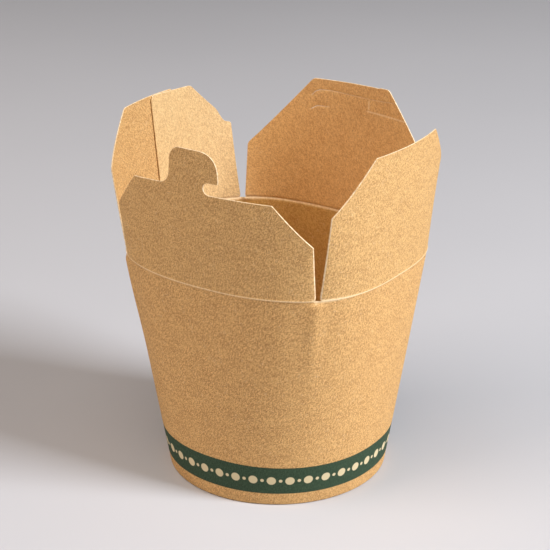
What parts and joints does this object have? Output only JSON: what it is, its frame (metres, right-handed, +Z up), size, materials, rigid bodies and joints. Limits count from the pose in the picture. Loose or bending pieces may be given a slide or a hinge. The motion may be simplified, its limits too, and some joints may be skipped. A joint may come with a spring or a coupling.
{
  "type": "noodle takeaway box",
  "caption": "Empty folded kraft board food box with a round foot and a square mouth, its hinged top flaps standing open and a hook tab on the front flap.",
  "frame": {"origin": "centre of the round foot, on the surface that the box stands on", "axes": "+Z up; -Y towards the front flap with the hook tab; +X towards the plain right flap, when the front is seen"},
  "size_m": [0.121, 0.112, 0.1475],
  "materials": {
    "printed_board": "matte brown kraft board with a dark green printed band above the foot",
    "kraft_board": "matte brown kraft board with fine fibres and pale cut edges",
    "base_board": "brown kraft board with a thin clear coat on its upper face"
  },
  "bodies": {
    "box": {"wall": "printed_board", "base": "base_board"},
    "front_flap": {"flap_front": "kraft_board"},
    "right_flap": {"flap_right": "kraft_board"},
    "back_flap": {"flap_back": "kraft_board"},
    "left_flap": {"flap_left": "kraft_board"}
  },
  "joints": [
    {"name": "left_fold", "type": "hinge", "parent": "box", "child": "left_flap", "pos_m": [-0.044, 0, 0.09], "axis": [0, 1, 0], "range_deg": [0, 95]},
    {"name": "right_fold", "type": "hinge", "parent": "box", "child": "right_flap", "pos_m": [0.044, 0, 0.09], "axis": [0, -1, 0], "range_deg": [0, 92]},
    {"name": "back_fold", "type": "hinge", "parent": "box", "child": "back_flap", "pos_m": [0, 0.0394, 0.093], "axis": [1, 0, 0], "range_deg": [0, 80]},
    {"name": "front_fold", "type": "hinge", "parent": "box", "child": "front_flap", "pos_m": [0, -0.0394, 0.093], "axis": [-1, 0, 0], "range_deg": [0, 65]}
  ]
}
